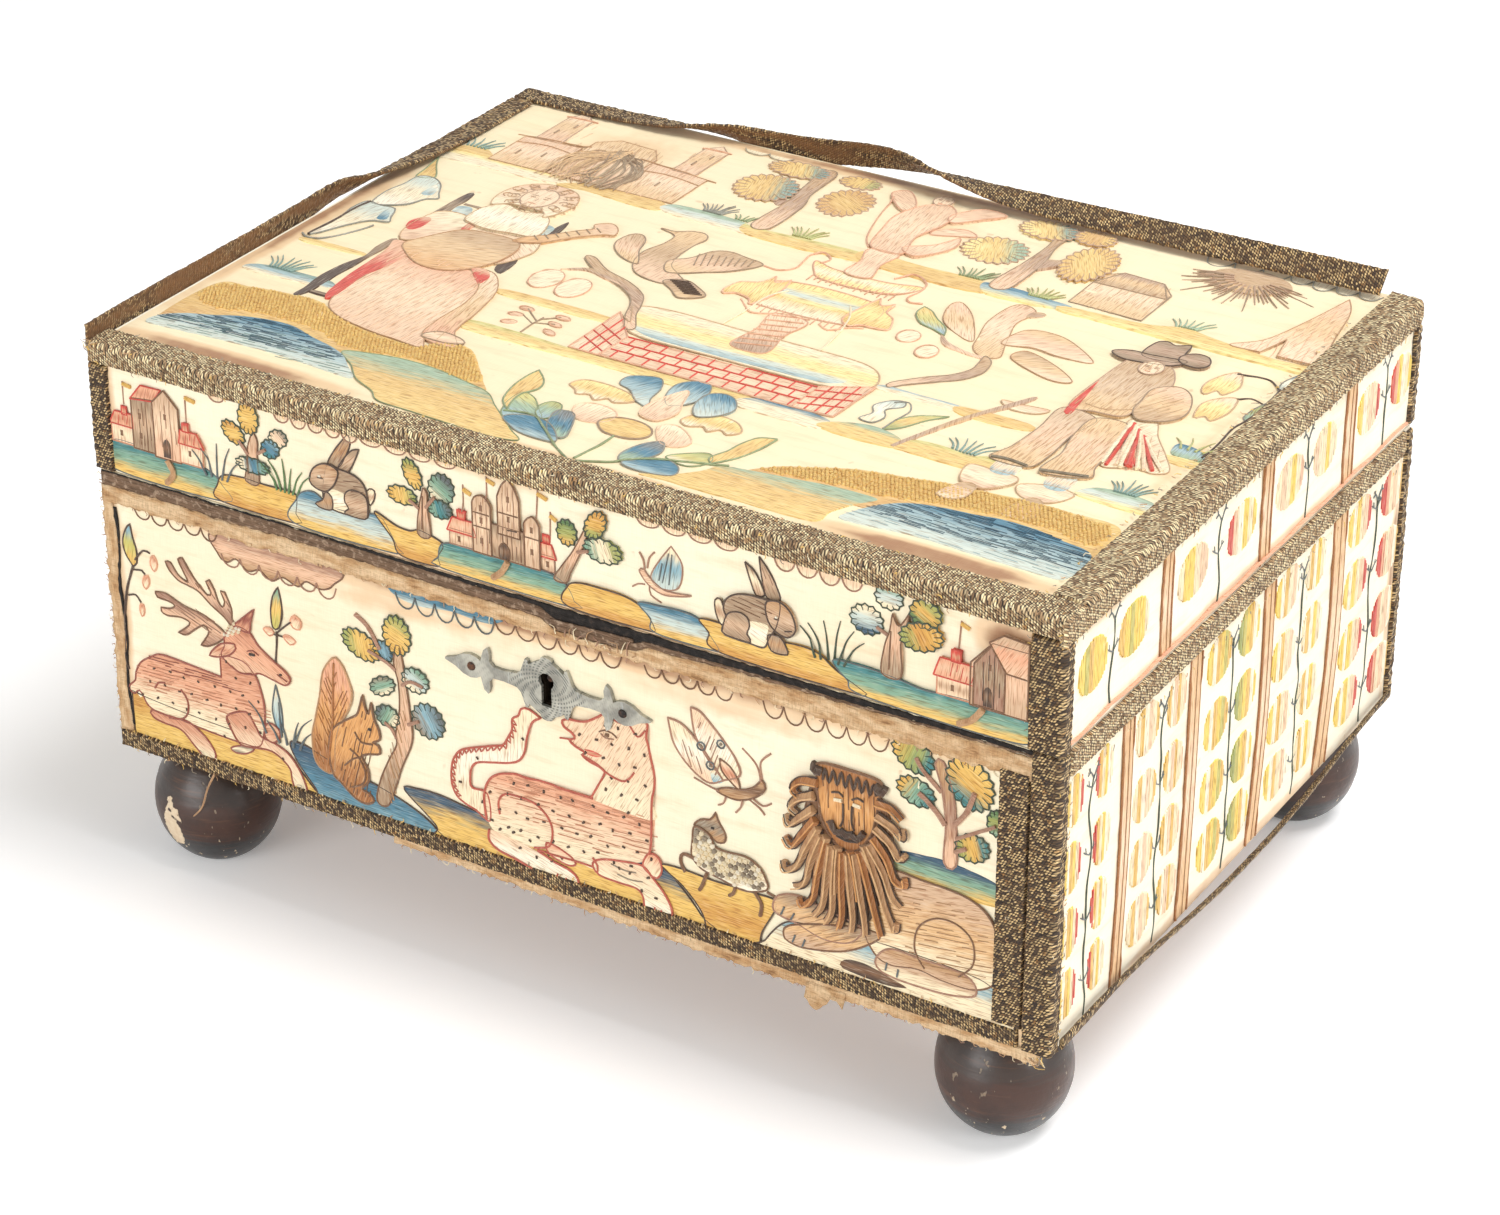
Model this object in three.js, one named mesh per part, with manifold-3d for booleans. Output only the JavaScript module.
// Silkwork casket: a wooden case on four ball feet with a hinged box lid, covered in silk panels
// whose edges are bound with metal-thread braid. Part of the braid has come loose.
// Millimetres, +Z up. X runs left to right along the front, the front faces -Y, the floor is Z = 0.
import * as THREE from 'three';
import { mergeVertices } from 'three/addons/utils/BufferGeometryUtils.js';
import Module from 'manifold-3d';

const wasm = await Module();
wasm.setup();

// Case and lid, over the silk
const caseWidth = 300;
const caseDepth = 214;
const caseHeight = 89;
const lidHeight = 37.7;
const lidGap = 0.4;
const wallBoard = 9;
const baseBoard = 9;
const lidBoard = 7;
const lidRail = 9;
const silkThickness = 0.8;
const liningThickness = 0.8;

// Clearances
const glueLine = 0.1;
const runningGap = 0.3;
const cutOverrun = 1;

// Feet
const footHeight = 36.5;
const footRadius = 18.5;
const footFlatRadius = 8;
const footInsetX = 20.5;
const footInsetY = 16;
const tenonRadius = 5;
const tenonLength = 7;

// Braid
const braidWidth = 9;
const braidThickness = 1.4;
const cornerBraidLeg = 7.5;
const cornerBraidReturn = 3.5;
const bottomBraidWidth = 5.5;
const lidFrontDrop = 5;
const lidRightDrop = 6.5;
const braidSpacing = 1;
const looseBraidWidth = 8;
const strandDiameter = 3;
const rimStripWidth = 7;
const rimStripThickness = 0.5;

// Lock, escutcheon and key post
const lockWidth = 54;
const lockHeight = 40;
const lockPlate = 1.2;
const lockRimWall = 1.2;
const frontSkin = 2.5;
const keyholeOffset = -1.2;
const keyholeBelowRim = 25.6;
const keyholeRadius = 2.4;
const keyholeRise = 2.4;
const keyholeSlot = 3.2;
const keyholeDrop = 5.3;
const keyPostRadius = 1.1;
const escutcheonHalfLength = 32.6;
const escutcheonHalfHeight = 9.7;
const escutcheonThickness = 1.1;
const escutcheonPinPitch = 48;
const escutcheonPinRadius = 1.3;
const escutcheonPinShank = 0.6;
const boltHeight = 4;
const boltThickness = 2;
const boltLength = 24;
const boltTravel = 6;
const boltDrop = 7;
const boltNoseGap = 1;
const springThickness = 0.5;
const springRise = 2.6;
const stapleShank = 5;
const stapleThickness = 1.8;
const stapleSole = 2.2;
const stapleTang = 6;

// Hinges
const hingeLength = 36;
const hingeLeaf = 0.9;
const hingeLeafDepth = 7;
const knuckleRadius = 2.2;
const hingePinRadius = 1;
const hingeInset = 52;
const knuckleShare = 1 / 3;

// Derived levels
const splitHeight = footHeight + caseHeight;
const lidBottom = splitHeight + lidGap;
const lidTop = lidBottom + lidHeight;
const boardInset = silkThickness + glueLine;
const boardWidth = caseWidth - 2 * boardInset;
const boardDepth = caseDepth - 2 * boardInset;
const halfWidth = caseWidth / 2;
const halfDepth = caseDepth / 2;
const floorTop = footHeight + baseBoard;
const wallBottom = floorTop + glueLine;
const lidBoardTop = lidTop - silkThickness - glueLine;
const railTop = lidBoardTop - lidBoard - glueLine;
const keyholeHeight = caseHeight - keyholeBelowRim;

const finish = (color, roughness, metalness = 0) =>
  new THREE.MeshStandardMaterial({ color, roughness, metalness });
const pine = finish(0x9a7a55, 0.8);
const ebonised = finish(0x3a2f2b, 0.4);
const silk = finish(0xf0e2c0, 0.55);
const liningSilk = finish(0xc98f86, 0.7);
const metalBraid = finish(0x6b6053, 0.6, 0.3);
const linen = finish(0xa98a66, 0.9);
const iron = finish(0x55585a, 0.5, 0.8);
const pewter = finish(0x8f9494, 0.45, 0.7);

const casket = new THREE.Group();

// Adds a named sub-part
function add(name, geometry, material) {
  const mesh = new THREE.Mesh(geometry, material);
  mesh.name = name;
  casket.add(mesh);
  return mesh;
}

// A box between two corners
function block(low, high) {
  const size = high.map((value, axis) => value - low[axis]);
  const geometry = new THREE.BoxGeometry(...size);
  geometry.translate(...high.map((value, axis) => (value + low[axis]) / 2));
  return geometry;
}

function toSolid(geometry) {
  const bare = geometry.clone();
  bare.deleteAttribute('normal');
  bare.deleteAttribute('uv');
  const merged = mergeVertices(bare);
  return new wasm.Manifold(new wasm.Mesh({
    numProp: 3,
    vertProperties: new Float32Array(merged.attributes.position.array),
    triVerts: new Uint32Array(merged.index.array),
  }));
}

function toGeometry(solid) {
  const mesh = solid.getMesh();
  const geometry = new THREE.BufferGeometry();
  geometry.setAttribute('position', new THREE.BufferAttribute(mesh.vertProperties, 3));
  geometry.setIndex(new THREE.BufferAttribute(mesh.triVerts, 1));
  geometry.computeVertexNormals();
  return geometry;
}

// One solid from a base, with some pieces joined and some cut away
function carve(base, joined, cut) {
  let solid = toSolid(base);
  for (const geometry of joined) {
    solid = solid.add(toSolid(geometry));
  }
  for (const geometry of cut) {
    solid = solid.subtract(toSolid(geometry));
  }
  return toGeometry(solid);
}

// A round bar along X or Z or Y between two stations
function bar(axis, from, to, radius, centre, sides = 24) {
  const geometry = new THREE.CylinderGeometry(radius, radius, to - from, sides);
  if (axis === 'x') {
    geometry.rotateZ(-Math.PI / 2);
    geometry.translate((from + to) / 2, ...centre);
  } else if (axis === 'y') {
    geometry.translate(0, (from + to) / 2, 0);
    geometry.translate(centre[0], 0, centre[1]);
  } else {
    geometry.rotateX(Math.PI / 2);
    geometry.translate(...centre, (from + to) / 2);
  }
  return geometry;
}

// A flat outline in X and Z, extruded from a front plane towards +Y
function plateFrom(shape, frontY, thickness, curveSegments = 8) {
  const geometry = new THREE.ExtrudeGeometry(shape, {
    depth: thickness,
    bevelEnabled: false,
    curveSegments,
  });
  geometry.rotateX(Math.PI / 2);
  geometry.translate(0, frontY + thickness, 0);
  return geometry;
}

// Keyhole outline: a round head over a straight slot, grown by a margin
function keyholeShape(margin) {
  const slot = keyholeSlot / 2 + margin;
  const radius = keyholeRadius + margin;
  const turn = Math.asin(slot / radius);
  const shape = new THREE.Path();
  shape.absarc(keyholeOffset, keyholeHeight + footHeight + keyholeRise, radius,
    -Math.PI / 2 + turn, Math.PI * 3 / 2 - turn, false);
  shape.lineTo(keyholeOffset - slot, keyholeHeight + footHeight - keyholeDrop - margin);
  shape.lineTo(keyholeOffset + slot, keyholeHeight + footHeight - keyholeDrop - margin);
  shape.closePath();
  return shape;
}

function keyholeCut(margin, fromY, depth) {
  const shape = new THREE.Shape(keyholeShape(margin).getPoints(8));
  return plateFrom(shape, fromY, depth);
}

// Case: base board, four walls and the lock's pocket in the front wall
const boardHalfWidth = boardWidth / 2;
const boardHalfDepth = boardDepth / 2;
const innerHalfWidth = boardHalfWidth - wallBoard;
const innerHalfDepth = boardHalfDepth - wallBoard;
const lockLeft = keyholeOffset - lockWidth / 2;
const lockRight = keyholeOffset + lockWidth / 2;
const lockBottom = splitHeight - lockHeight;
const pocketFront = -boardHalfDepth + frontSkin;
const feetCentres = [];
for (const [side, x] of [['left', -1], ['right', 1]]) {
  for (const [end, y] of [['front', -1], ['back', 1]]) {
    feetCentres.push([`foot_${end}_${side}`, x * (halfWidth - footInsetX), y * (halfDepth - footInsetY)]);
  }
}
const tenonHoles = feetCentres.map(([, x, y]) =>
  bar('z', footHeight - cutOverrun, footHeight + tenonLength + glueLine, tenonRadius + glueLine, [x, y]));
add('case_base_board', carve(
  block([-boardHalfWidth, -boardHalfDepth, footHeight], [boardHalfWidth, boardHalfDepth, floorTop]),
  [], tenonHoles), pine);
const lockPocket = block(
  [lockLeft - glueLine, pocketFront, lockBottom - glueLine],
  [lockRight + glueLine, -innerHalfDepth + cutOverrun, splitHeight + cutOverrun]);
add('case_front_board', carve(
  block([-boardHalfWidth, -boardHalfDepth, wallBottom], [boardHalfWidth, -innerHalfDepth, splitHeight]),
  [], [lockPocket, keyholeCut(0, -boardHalfDepth - cutOverrun, frontSkin + 2 * cutOverrun)]), pine);
const sideHalfDepth = innerHalfDepth - glueLine;
add('case_left_board', block(
  [-boardHalfWidth, -sideHalfDepth, wallBottom], [-innerHalfWidth, sideHalfDepth, splitHeight]), pine);
add('case_right_board', block(
  [innerHalfWidth, -sideHalfDepth, wallBottom], [boardHalfWidth, sideHalfDepth, splitHeight]), pine);

// Hinge places along the back, and the axis that both hinges share
const hingeCentres = [-halfWidth + hingeInset + hingeLength / 2, halfWidth - hingeInset - hingeLength / 2];
const hingeAxisY = halfDepth + braidThickness + glueLine + runningGap + knuckleRadius;
const hingeAxisZ = splitHeight + lidGap / 2;
const leafFront = boardHalfDepth - hingeLeafDepth;
const leafPlateEnd = hingeAxisY - knuckleRadius - runningGap;
const caseLeafTop = splitHeight;
const lidLeafBottom = lidBottom;
const hingeRecess = (x, low, high) => block(
  [x - hingeLength / 2 - glueLine, leafFront - glueLine, low],
  [x + hingeLength / 2 + glueLine, boardHalfDepth + cutOverrun, high]);
add('case_back_board', carve(
  block([-boardHalfWidth, innerHalfDepth, wallBottom], [boardHalfWidth, boardHalfDepth, splitHeight]), [],
  hingeCentres.map((x) => hingeRecess(x, caseLeafTop - hingeLeaf - glueLine, caseLeafTop + cutOverrun))), pine);

// Case lining: a silk and paper tray with a window for the lock plate
const liningHalfWidth = innerHalfWidth - glueLine;
const liningHalfDepth = innerHalfDepth - glueLine;
const liningBottom = floorTop + glueLine;
add('case_lining', carve(
  block([-liningHalfWidth, -liningHalfDepth, liningBottom], [liningHalfWidth, liningHalfDepth, splitHeight]), [], [
    block([-liningHalfWidth + liningThickness, -liningHalfDepth + liningThickness, liningBottom + liningThickness],
      [liningHalfWidth - liningThickness, liningHalfDepth - liningThickness, splitHeight + cutOverrun]),
    block([lockLeft, -liningHalfDepth - cutOverrun, lockBottom],
      [lockRight, -liningHalfDepth + liningThickness + cutOverrun / 2, splitHeight + cutOverrun]),
  ]), liningSilk);

// Silk panels of the case
const silkInnerX = halfWidth - silkThickness;
const silkInnerY = halfDepth - silkThickness;
const sideSilkY = silkInnerY - glueLine;
add('case_silk_front', carve(
  block([-halfWidth, -halfDepth, footHeight], [halfWidth, -silkInnerY, splitHeight]), [],
  [keyholeCut(0, -halfDepth - cutOverrun, silkThickness + 2 * cutOverrun)]), silk);
const backSilkTop = splitHeight - hingeLeaf - glueLine;
add('case_silk_back', block([-halfWidth, silkInnerY, footHeight], [halfWidth, halfDepth, backSilkTop]), silk);
add('case_silk_left', block([-halfWidth, -sideSilkY, footHeight], [-silkInnerX, sideSilkY, splitHeight]), silk);
add('case_silk_right', block([silkInnerX, -sideSilkY, footHeight], [halfWidth, sideSilkY, splitHeight]), silk);

// Linen strip left bare along the front rim
const rimFront = -halfDepth - glueLine - rimStripThickness;
add('case_rim_linen', block(
  [-halfWidth + glueLine, rimFront, splitHeight - rimStripWidth],
  [halfWidth - cornerBraidLeg - braidSpacing, -halfDepth - glueLine, splitHeight]), linen);

// An L-shaped braid round an upright corner, from low to high
function cornerBraid(signX, signY, legX, legY, low, high) {
  const shape = new THREE.Shape();
  const innerX = halfWidth + glueLine;
  const innerY = halfDepth + glueLine;
  const outerX = innerX + braidThickness;
  const outerY = innerY + braidThickness;
  const corners = [
    [outerX, outerY], [halfWidth - legX, outerY], [halfWidth - legX, innerY],
    [innerX, innerY], [innerX, halfDepth - legY], [outerX, halfDepth - legY],
  ].map(([x, y]) => [signX * x, signY * y]);
  if (signX * signY < 0) {
    corners.reverse();
  }
  shape.setFromPoints(corners.map(([x, y]) => new THREE.Vector2(x, y)));
  const geometry = new THREE.ExtrudeGeometry(shape, { depth: high - low, bevelEnabled: false });
  geometry.translate(0, 0, low);
  return geometry;
}

// Braids of the case
const braidFront = -halfDepth - glueLine - braidThickness;
const braidFrontBack = -halfDepth - glueLine;
const bottomBraidTop = footHeight + bottomBraidWidth;
const frontRightOuter = halfWidth - cornerBraidLeg - braidSpacing;
const frontRightInner = frontRightOuter - cornerBraidLeg;
add('case_braid_corner_front_right', cornerBraid(1, -1, cornerBraidLeg, cornerBraidReturn,
  footHeight, splitHeight), metalBraid);
add('case_braid_front_right', block(
  [frontRightInner, braidFront, bottomBraidTop + braidSpacing],
  [frontRightOuter, braidFrontBack, splitHeight - rimStripWidth - glueLine]), metalBraid);
add('case_braid_front_bottom', block(
  [-halfWidth, braidFront, footHeight], [frontRightOuter, braidFrontBack, bottomBraidTop]), metalBraid);
const sideBraidEndFront = -halfDepth + cornerBraidReturn + braidSpacing;
const sideBraidEndBack = halfDepth - cornerBraidReturn - braidSpacing;
const sideBraidTop = (signX, low, high) => {
  const near = signX * (halfWidth + glueLine);
  const far = signX * (halfWidth + glueLine + braidThickness);
  return block([Math.min(near, far), sideBraidEndFront, low], [Math.max(near, far), sideBraidEndBack, high]);
};
add('case_braid_right_top', sideBraidTop(1, splitHeight - cornerBraidLeg, splitHeight), metalBraid);
add('case_braid_left_top', sideBraidTop(-1, splitHeight - cornerBraidLeg, splitHeight), metalBraid);
add('case_braid_left_bottom', sideBraidTop(-1, footHeight, bottomBraidTop), metalBraid);
add('case_braid_corner_back_right', cornerBraid(1, 1, cornerBraidLeg, cornerBraidReturn,
  footHeight, backSilkTop), metalBraid);
add('case_braid_corner_back_left', cornerBraid(-1, 1, cornerBraidLeg, cornerBraidReturn,
  footHeight, backSilkTop), metalBraid);
const backBraidEnd = halfWidth - cornerBraidLeg - braidSpacing;
const backBraid = (low, high) => block(
  [-backBraidEnd, halfDepth + glueLine, low],
  [backBraidEnd, halfDepth + glueLine + braidThickness, high]);
const backTopBraidTop = splitHeight - hingeLeaf - runningGap;
add('case_braid_back_top', backBraid(backTopBraidTop - cornerBraidLeg, backTopBraidTop), metalBraid);
add('case_braid_back_bottom', backBraid(footHeight, bottomBraidTop), metalBraid);

// Loose strand of braid that hangs along the lower right edge, held at its two ends.
// Its points are shares of the way from front to back, and heights above the case's lower edge.
const strandRadius = strandDiameter / 2;
const strandX = halfWidth + runningGap + strandRadius;
const strandRouteShares = [
  [0, 2.4], [0.08, 2.5], [0.16, 2.4], [0.25, 1.4], [0.34, -0.6], [0.44, -2.4], [0.53, -3.2],
  [0.62, -3.3], [0.7, -2.6], [0.78, -1.2], [0.86, 0.8], [0.93, 2.2], [1, 2.8],
];
const strandStart = -halfDepth + cornerBraidReturn + runningGap;
const strandEnd = halfDepth - cornerBraidReturn - runningGap;
const strandCurve = new THREE.CatmullRomCurve3(strandRouteShares.map(([share, rise]) =>
  new THREE.Vector3(strandX, THREE.MathUtils.lerp(strandStart, strandEnd, share), footHeight + rise)));
const strandSection = new THREE.Shape();
for (let side = 0; side < 8; side += 1) {
  const turn = side * Math.PI / 4;
  const point = [strandRadius * Math.cos(turn), strandRadius * Math.sin(turn)];
  if (side === 0) {
    strandSection.moveTo(...point);
  } else {
    strandSection.lineTo(...point);
  }
}
strandSection.closePath();
add('case_braid_loose_strand', new THREE.ExtrudeGeometry(strandSection, {
  steps: 40,
  extrudePath: strandCurve,
  bevelEnabled: false,
}), metalBraid);

// Ball feet: a turned bun, flat where it stands and where it meets the base, with a tenon above
const bunHalf = footHeight / 2;
const bunRise = bunHalf / Math.sqrt(1 - (footFlatRadius / footRadius) ** 2);
const bunEnd = Math.acos(footFlatRadius / footRadius);
const footProfile = [new THREE.Vector2(0, 0)];
const bunSteps = 12;
for (let step = 0; step <= bunSteps; step += 1) {
  const turn = -bunEnd + step * 2 * bunEnd / bunSteps;
  const height = bunHalf + bunRise * Math.sin(turn);
  footProfile.push(new THREE.Vector2(
    footRadius * Math.cos(turn),
    THREE.MathUtils.clamp(height, 0, footHeight - glueLine)));
}
footProfile.push(new THREE.Vector2(tenonRadius, footHeight - glueLine));
footProfile.push(new THREE.Vector2(tenonRadius, footHeight + tenonLength));
footProfile.push(new THREE.Vector2(0, footHeight + tenonLength));
for (const [name, x, y] of feetCentres) {
  const foot = add(name, new THREE.LatheGeometry(footProfile, 32).rotateX(Math.PI / 2), ebonised);
  foot.position.set(x, y, 0);
}

// Escutcheon: one quarter of its outline, as shares of its half length and half height
const quarterShares = [
  [0, 1], [0.045, 0.96], [0.065, 0.84], [0.13, 0.72], [0.17, 0.62], [0.18, 0.74], [0.205, 0.76], [0.225, 0.58],
  [0.25, 0.34], [0.29, 0.22], [0.42, 0.17], [0.52, 0.18], [0.56, 0.32], [0.555, 0.52], [0.575, 0.72],
  [0.615, 0.62], [0.635, 0.4], [0.645, 0.24], [0.69, 0.33], [0.75, 0.37], [0.82, 0.31], [0.9, 0.14], [1, 0.03],
];
const escutcheonZ = keyholeHeight + footHeight;
const outline = [];
for (const [signX, signZ] of [[1, 1], [1, -1], [-1, -1], [-1, 1]]) {
  const quarter = quarterShares.map(([along, up]) => new THREE.Vector2(
    keyholeOffset + signX * along * escutcheonHalfLength,
    escutcheonZ + signZ * up * escutcheonHalfHeight));
  if (signX * signZ < 0) {
    quarter.reverse();
  }
  if (signX === signZ) {
    outline.push(...quarter.slice(0, -1), quarter.at(-1));
  } else {
    outline.push(...quarter.slice(0, -1));
  }
}
const escutcheonFront = -halfDepth - glueLine - escutcheonThickness;
const pinPlaces = [-1, 1].map((side) => keyholeOffset + side * escutcheonPinPitch / 2);
const pinHoles = pinPlaces.map((x) => bar('y', escutcheonFront - cutOverrun, -halfDepth + cutOverrun,
  escutcheonPinShank + glueLine, [x, escutcheonZ], 12));
const escutcheonShape = new THREE.Shape(outline.filter((point, index) =>
  point.distanceTo(outline[(index + 1) % outline.length]) > glueLine));
add('escutcheon', carve(plateFrom(escutcheonShape, escutcheonFront, escutcheonThickness), [],
  [keyholeCut(0, escutcheonFront - cutOverrun, escutcheonThickness + 2 * cutOverrun), ...pinHoles]), pewter);

// Escutcheon pins: a domed head on a shank that ends inside the plate
const pinHeadRise = escutcheonPinRadius / 2;
const pinProfile = [
  new THREE.Vector2(0, 0),
  new THREE.Vector2(escutcheonPinShank, 0),
  new THREE.Vector2(escutcheonPinShank, escutcheonThickness),
  new THREE.Vector2(escutcheonPinRadius, escutcheonThickness),
  new THREE.Vector2(escutcheonPinRadius * Math.cos(Math.PI / 6), escutcheonThickness + pinHeadRise / 2),
  new THREE.Vector2(escutcheonPinRadius / 2, escutcheonThickness + pinHeadRise * Math.sin(Math.PI / 3)),
  new THREE.Vector2(0, escutcheonThickness + pinHeadRise),
];
for (const [index, x] of pinPlaces.entries()) {
  const pin = add(`escutcheon_pin_${['left', 'right'][index]}`, new THREE.LatheGeometry(pinProfile, 12), iron);
  pin.rotation.x = Math.PI;
  pin.position.set(x, -halfDepth - 2 * glueLine, escutcheonZ);
}

// Lock: a plate flush with the inner face, with a rim that makes a shallow case open to the front
const lockBack = -innerHalfDepth;
const lockFront = pocketFront + glueLine;
const cavityFront = lockFront - cutOverrun;
const cavityBack = lockBack - lockPlate;
const stapleX = keyholeOffset;
const stapleFoot = boltTravel - boltNoseGap + runningGap;
const slotHalf = stapleShank / 2 + runningGap + boltNoseGap;
const cavityMidY = (lockFront + cavityBack) / 2;
const stapleSlot = block(
  [stapleX - stapleFoot - slotHalf, cavityMidY - stapleThickness / 2 - boltNoseGap / 2, splitHeight - 2 * lockRimWall],
  [stapleX + slotHalf, cavityMidY + stapleThickness / 2 + boltNoseGap / 2, splitHeight + cutOverrun]);
add('lock_case', carve(block([lockLeft, lockFront, lockBottom], [lockRight, lockBack, splitHeight - glueLine]), [], [
  block([lockLeft + lockRimWall, cavityFront, lockBottom + lockRimWall],
    [lockRight - lockRimWall, cavityBack, splitHeight - glueLine - lockRimWall]),
  stapleSlot,
]), iron);

// Key post: stands on the lock plate, in the round head of the keyhole
const postZ = escutcheonZ + keyholeRise;
add('lock_key_post', bar('y', -boardHalfDepth, cavityBack - glueLine, keyPostRadius,
  [keyholeOffset, postZ], 16), iron);

// Bolt: slides towards +X over the foot of the staple. At rest its nose stands clear of the foot
const footLeft = stapleX - stapleShank / 2 - stapleFoot;
const boltNose = footLeft - boltNoseGap;
const boltTop = splitHeight - boltDrop;
const boltFront = cavityMidY - boltThickness / 2;
add('lock_bolt', block(
  [Math.max(boltNose - boltLength, lockLeft + lockRimWall + runningGap), boltFront, boltTop - boltHeight],
  [boltNose, boltFront + boltThickness, boltTop]), iron);

// Bolt spring: a bowed strip between the bolt and the top of the lock
const springLeft = lockLeft + lockRimWall + runningGap;
const springRight = boltNose - boltTravel;
const springBow = new THREE.Shape();
const springMid = (springLeft + springRight) / 2;
const springFootZ = boltTop + runningGap;
springBow.moveTo(springLeft, springFootZ + springRise);
springBow.quadraticCurveTo(springMid, springFootZ - springRise, springRight, springFootZ + springRise);
springBow.lineTo(springRight, springFootZ + springRise + springThickness);
springBow.quadraticCurveTo(springMid, springFootZ - springRise + springThickness,
  springLeft, springFootZ + springRise + springThickness);
springBow.closePath();
add('lock_spring', plateFrom(springBow, boltFront, boltThickness), iron);

// Hinges: two leaves, each with its knuckles, and a pin through them
function hingeLeafBody(x, plateLow, plateHigh, outerKnuckles) {
  const left = x - hingeLength / 2;
  const right = x + hingeLength / 2;
  const split = hingeLength * knuckleShare;
  const spans = outerKnuckles
    ? [[left, left + split - runningGap / 2], [right - split + runningGap / 2, right]]
    : [[left + split + runningGap / 2, right - split - runningGap / 2]];
  const joined = [];
  for (const [from, to] of spans) {
    joined.push(block([from, leafFront, plateLow], [to, hingeAxisY, plateHigh]));
    joined.push(bar('x', from, to, knuckleRadius, [hingeAxisY, hingeAxisZ]));
  }
  return carve(block([left, leafFront, plateLow], [right, leafPlateEnd, plateHigh]), joined,
    [bar('x', left - cutOverrun, right + cutOverrun, hingePinRadius + runningGap, [hingeAxisY, hingeAxisZ])]);
}
for (const [index, x] of hingeCentres.entries()) {
  const side = ['left', 'right'][index];
  add(`hinge_leaf_case_${side}`, hingeLeafBody(x, caseLeafTop - hingeLeaf, caseLeafTop, true), iron);
  add(`hinge_leaf_lid_${side}`, hingeLeafBody(x, lidLeafBottom, lidLeafBottom + hingeLeaf, false), iron);
  add(`hinge_pin_${side}`, bar('x', x - hingeLength / 2, x + hingeLength / 2, hingePinRadius,
    [hingeAxisY, hingeAxisZ], 16), iron);
}

// Lid: a top board on four rails
add('lid_top_board', block(
  [-boardHalfWidth, -boardHalfDepth, lidBoardTop - lidBoard], [boardHalfWidth, boardHalfDepth, lidBoardTop]), pine);
const lidInnerX = boardHalfWidth - lidRail;
const lidInnerY = boardHalfDepth - lidRail;
const stapleLowY = cavityMidY - stapleThickness / 2;
const stapleHighY = cavityMidY + stapleThickness / 2;
const stapleMortise = block(
  [stapleX - stapleShank / 2 - glueLine, stapleLowY - glueLine, lidBottom - cutOverrun],
  [stapleX + stapleShank / 2 + glueLine, stapleHighY + glueLine, lidBottom + stapleTang + glueLine]);
add('lid_front_rail', carve(
  block([-boardHalfWidth, -boardHalfDepth, lidBottom], [boardHalfWidth, -lidInnerY, railTop]), [],
  [stapleMortise]), pine);
add('lid_back_rail', carve(
  block([-boardHalfWidth, lidInnerY, lidBottom], [boardHalfWidth, boardHalfDepth, railTop]), [],
  hingeCentres.map((x) => hingeRecess(x, lidBottom - cutOverrun, lidBottom + hingeLeaf + glueLine))), pine);
add('lid_left_rail', block(
  [-boardHalfWidth, -lidInnerY + glueLine, lidBottom], [-lidInnerX, lidInnerY - glueLine, railTop]), pine);
add('lid_right_rail', block(
  [lidInnerX, -lidInnerY + glueLine, lidBottom], [boardHalfWidth, lidInnerY - glueLine, railTop]), pine);

// Staple: hangs from the front rail, with a foot that the bolt slides over
const stapleBottom = boltTop - boltHeight - runningGap - stapleSole;
const stapleShape = new THREE.Shape([
  new THREE.Vector2(footLeft, stapleBottom),
  new THREE.Vector2(stapleX + stapleShank / 2, stapleBottom),
  new THREE.Vector2(stapleX + stapleShank / 2, lidBottom + stapleTang),
  new THREE.Vector2(stapleX - stapleShank / 2, lidBottom + stapleTang),
  new THREE.Vector2(stapleX - stapleShank / 2, stapleBottom + stapleSole),
  new THREE.Vector2(footLeft, stapleBottom + stapleSole),
]);
add('lid_staple', plateFrom(stapleShape, stapleLowY, stapleThickness), iron);

// Lid lining: an open tray that faces down
add('lid_lining', carve(
  block([-lidInnerX + glueLine, -lidInnerY + glueLine, lidBottom],
    [lidInnerX - glueLine, lidInnerY - glueLine, railTop]), [],
  [block([-lidInnerX + glueLine + liningThickness, -lidInnerY + glueLine + liningThickness, lidBottom - cutOverrun],
    [lidInnerX - glueLine - liningThickness, lidInnerY - glueLine - liningThickness,
      railTop - liningThickness])]), liningSilk);

// Silk panels of the lid
const lidSilkTop = lidTop - silkThickness - glueLine;
const lidBackSilkBottom = lidBottom + hingeLeaf + glueLine;
add('lid_silk_top', block([-halfWidth, -halfDepth, lidTop - silkThickness], [halfWidth, halfDepth, lidTop]), silk);
add('lid_silk_front', block([-halfWidth, -halfDepth, lidBottom], [halfWidth, -silkInnerY, lidSilkTop]), silk);
add('lid_silk_back', block([-halfWidth, silkInnerY, lidBackSilkBottom], [halfWidth, halfDepth, lidSilkTop]), silk);
add('lid_silk_left', block([-halfWidth, -sideSilkY, lidBottom], [-silkInnerX, sideSilkY, lidSilkTop]), silk);
add('lid_silk_right', block([silkInnerX, -sideSilkY, lidBottom], [halfWidth, sideSilkY, lidSilkTop]), silk);

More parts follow.
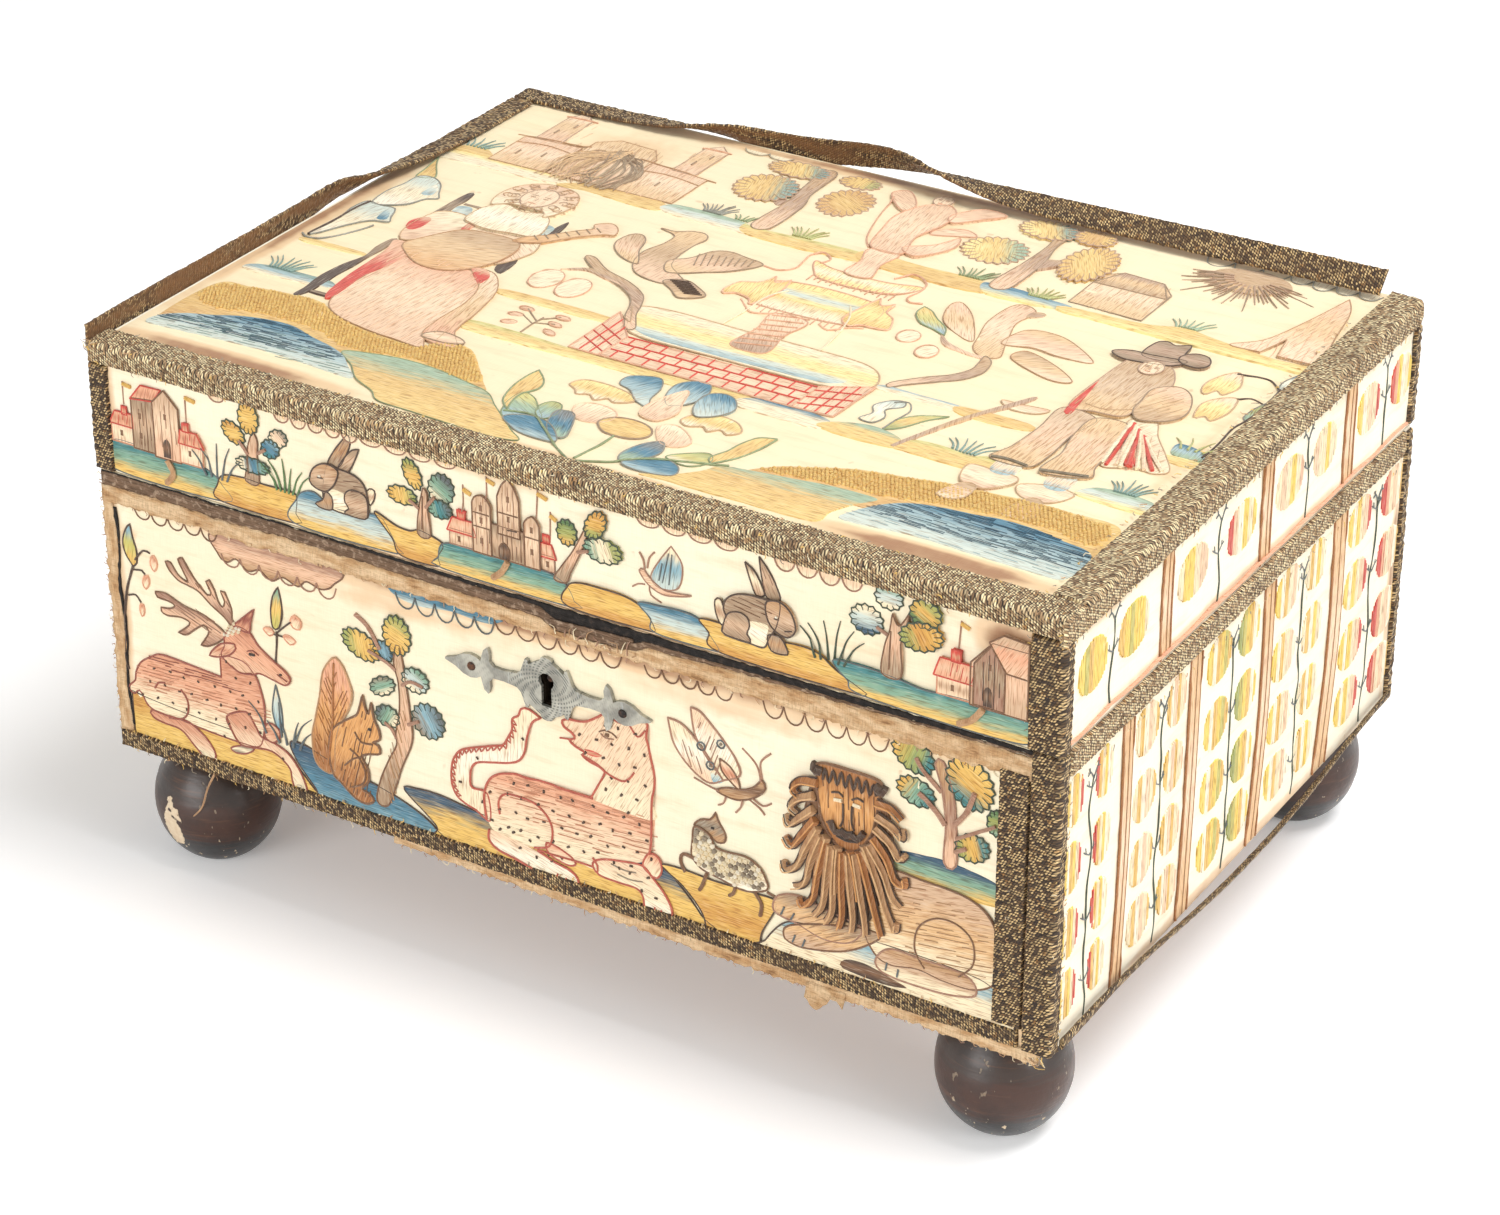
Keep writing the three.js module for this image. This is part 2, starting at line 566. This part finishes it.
// Braids of the lid that lie in place
const overTop = lidTop + glueLine;
const overTopHigh = overTop + braidThickness;
add('lid_braid_front', carve(
  block([-halfWidth, braidFront, lidTop - lidFrontDrop], [halfWidth, braidFrontBack, overTopHigh]),
  [block([-halfWidth, braidFront, overTop], [halfWidth, -halfDepth + braidWidth, overTopHigh])], []), metalBraid);
const besideRight = halfWidth + glueLine;
const rightBraidStart = -halfDepth + braidWidth + runningGap;
const rightReturnStart = -halfDepth + cornerBraidReturn + braidSpacing;
add('lid_braid_right', carve(
  block([halfWidth - braidWidth, rightBraidStart, overTop],
    [besideRight + braidThickness, halfDepth, overTopHigh]),
  [block([besideRight, rightBraidStart, lidTop - lidRightDrop],
    [besideRight + braidThickness, halfDepth, overTopHigh]),
  block([besideRight, rightReturnStart, lidTop - lidRightDrop],
    [besideRight + braidThickness, rightBraidStart + glueLine, overTopHigh])], []), metalBraid);
const cornerTop = lidTop - lidFrontDrop - runningGap;
add('lid_braid_corner_front_right', cornerBraid(1, -1, braidWidth, cornerBraidReturn, lidBottom, cornerTop), metalBraid);
add('lid_braid_corner_front_left', cornerBraid(-1, -1, bottomBraidWidth, cornerBraidReturn,
  lidBottom, cornerTop), metalBraid);
add('lid_braid_corner_back_right', cornerBraid(1, 1, cornerBraidReturn, cornerBraidReturn,
  lidBackSilkBottom, lidTop - lidRightDrop - runningGap), metalBraid);

// A strip of braid that twists along its length. Each station has the middle of its held edge,
// and the directions in which its width and its thickness run
function twistedStrip(stations, width, thickness) {
  const positions = [];
  for (const { edge, across, out } of stations) {
    const far = edge.clone().addScaledVector(across, width);
    for (const corner of [edge, far, far.clone().addScaledVector(out, thickness),
      edge.clone().addScaledVector(out, thickness)]) {
      positions.push(corner.x, corner.y, corner.z);
    }
  }
  const index = [];
  for (let station = 0; station + 1 < stations.length; station += 1) {
    for (let side = 0; side < 4; side += 1) {
      const a = 4 * station + side;
      const b = 4 * station + (side + 1) % 4;
      index.push(a, b + 4, b, a, a + 4, b + 4);
    }
  }
  const last = 4 * (stations.length - 1);
  index.push(0, 1, 2, 0, 2, 3, last, last + 2, last + 1, last, last + 3, last + 2);
  const geometry = new THREE.BufferGeometry();
  geometry.setAttribute('position', new THREE.Float32BufferAttribute(positions, 3));
  geometry.setIndex(index);
  geometry.computeVertexNormals();
  return geometry;
}

// Loose back braid. Its rows give the share of the way to the right, how far its held edge lies behind
// and above the lid's edge as shares of the braid's width, and its lean in degrees: 0 lies flat
// on the top, 90 stands up
const looseBackShares = [
  [0, 0, 0.03, 0], [0.1, 0, 0.03, 0], [0.19, 0.03, 0.05, 12], [0.25, 0.1, -0.02, 45], [0.3, 0.13, -0.3, 80],
  [0.36, 0.13, -0.2, 88], [0.41, 0.1, 0.05, 86], [0.46, 0.05, 0.3, 66], [0.5, 0.02, 0.46, 35],
  [0.55, 0, 0.56, 5], [0.6, 0, 0.63, -18], [0.68, 0, 0.72, -32], [0.78, 0, 0.8, -40], [0.9, 0, 0.86, -44],
  [1, 0, 0.9, -46],
];
const looseBackStart = -halfWidth;
const looseBackEnd = halfWidth - braidWidth - braidSpacing;
add('lid_braid_back_loose', twistedStrip(looseBackShares.map(([share, behind, above, lean]) => {
  const turn = THREE.MathUtils.degToRad(lean);
  return {
    edge: new THREE.Vector3(
      THREE.MathUtils.lerp(looseBackStart, looseBackEnd, share),
      halfDepth + behind * looseBraidWidth,
      lidTop + above * looseBraidWidth),
    across: new THREE.Vector3(0, -Math.cos(turn), Math.sin(turn)),
    out: new THREE.Vector3(0, Math.sin(turn), Math.cos(turn)),
  };
}), looseBraidWidth, braidThickness), metalBraid);

// Loose left braid, read the same way from front to back
const looseLeftShares = [
  [0, 0.08, -0.3, 88], [0.12, 0.08, -0.28, 90], [0.3, 0.08, -0.3, 88], [0.45, 0.13, -0.3, 84],
  [0.55, 0.16, -0.05, 66], [0.6, 0.13, -0.02, 44], [0.66, 0.08, 0.03, 24], [0.76, 0, 0.06, 6], [0.9, 0, 0.03, 0],
  [1, 0, 0.03, 0],
];
const looseLeftStart = -halfDepth;
const looseLeftEnd = halfDepth - looseBraidWidth - braidSpacing;
add('lid_braid_left_loose', twistedStrip(looseLeftShares.map(([share, beside, above, lean]) => {
  const turn = THREE.MathUtils.degToRad(lean);
  return {
    edge: new THREE.Vector3(
      -halfWidth - beside * looseBraidWidth,
      THREE.MathUtils.lerp(looseLeftStart, looseLeftEnd, share),
      lidTop + above * looseBraidWidth),
    across: new THREE.Vector3(Math.cos(turn), 0, Math.sin(turn)),
    out: new THREE.Vector3(-Math.sin(turn), 0, Math.cos(turn)),
  };
}), looseBraidWidth, braidThickness), metalBraid);

// The origin is under the middle of the casket's box, on the floor
const bounds = new THREE.Box3();
for (const mesh of casket.children) {
  if (mesh.name !== 'case_braid_loose_strand') {
    bounds.expandByObject(mesh);
  }
}
const middle = bounds.getCenter(new THREE.Vector3());
casket.position.set(-middle.x, -middle.y, 0);
const moved = (x, y, z) => [x - middle.x, y - middle.y, z].map((value) => Number(value.toFixed(3)));
console.log('hinge axis passes through', moved(0, hingeAxisY, hingeAxisZ));
console.log('case interior', moved(-liningHalfWidth + liningThickness, -liningHalfDepth + liningThickness,
  liningBottom + liningThickness), moved(liningHalfWidth - liningThickness, liningHalfDepth - liningThickness,
  splitHeight));
console.log('lid interior', moved(-lidInnerX + glueLine + liningThickness, -lidInnerY + glueLine + liningThickness,
  lidBottom), moved(lidInnerX - glueLine - liningThickness, lidInnerY - glueLine - liningThickness,
  railTop - liningThickness));
console.log('front right foot stands at', moved(halfWidth - footInsetX, -halfDepth + footInsetY, 0));
console.log('strand starts at', moved(strandX, strandStart, footHeight));

export default casket;
